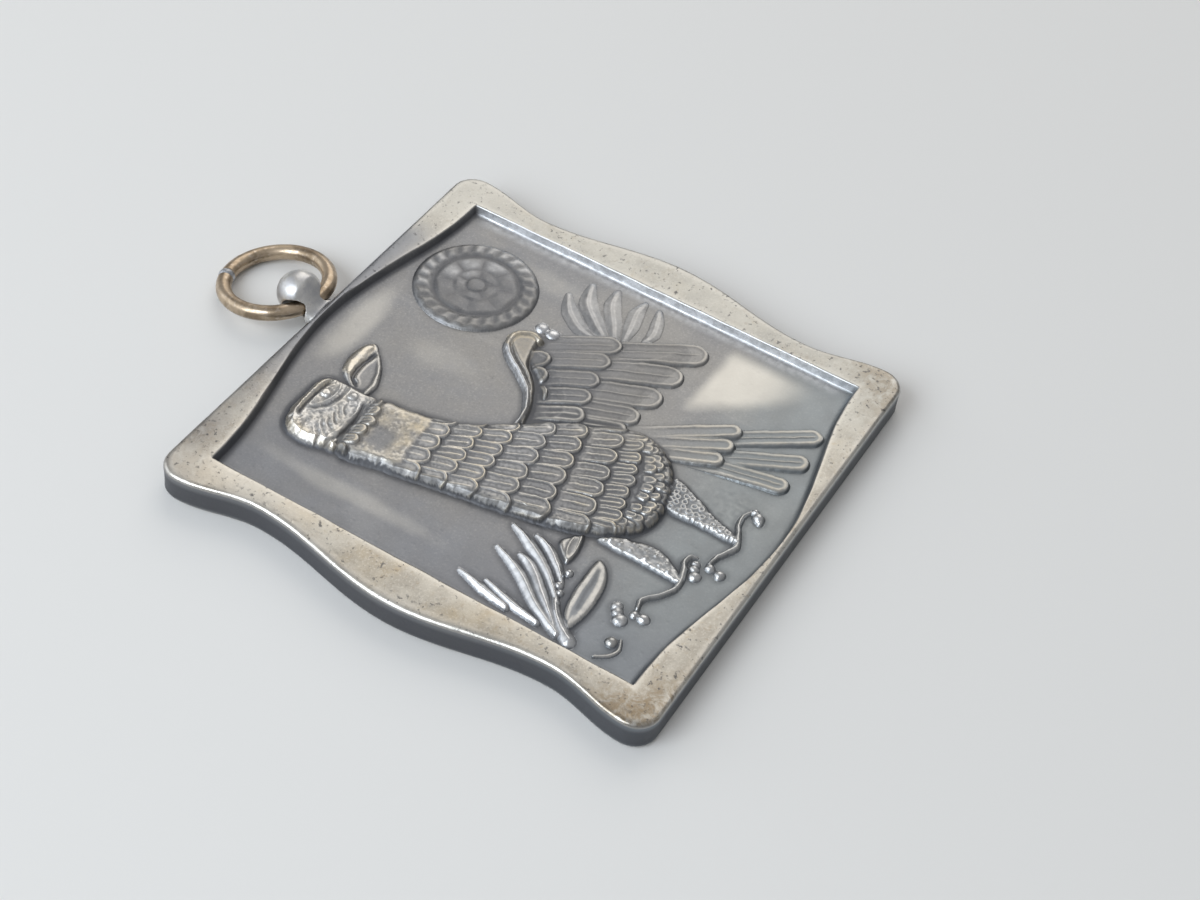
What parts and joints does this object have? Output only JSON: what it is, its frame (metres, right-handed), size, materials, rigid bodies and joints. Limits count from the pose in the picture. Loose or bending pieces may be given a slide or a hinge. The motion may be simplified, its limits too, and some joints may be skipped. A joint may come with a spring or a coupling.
{
  "type": "plaque medal pendant",
  "caption": "Square cast medal with wavy sides, a sunk field with a bird in relief, a ball-ended eyelet and a jump ring to hang it by.",
  "frame": {"origin": "middle of the plaque's flat back face", "axes": "+Z out of the relief face, +Y up the face towards the eyelet and ring, +X to the right seen from the front"},
  "size_m": [0.0412, 0.0497, 0.0041],
  "materials": {
    "aged_silver": "silvered and oxidised, dark in the hollows and worn pale on the rim and the high relief",
    "bright_silver": "worn bright silver",
    "solder": "grey, slightly grainy solder",
    "bronze": "golden-brown tarnished bronze wire"
  },
  "bodies": {
    "medal": {"plaque": "aged_silver", "ball_eyelet": "bright_silver", "eyelet_solder": "solder"},
    "ring": {"jump_ring": "bronze", "ring_solder": "solder"}
  },
  "joints": [
    {"name": "ring_swing", "type": "hinge", "parent": "medal", "child": "ring", "pos_m": [0.00045, 0.0214, 0.00198], "axis": [0.9659, -0.2588, 0], "range_deg": [-76, 124]}
  ]
}
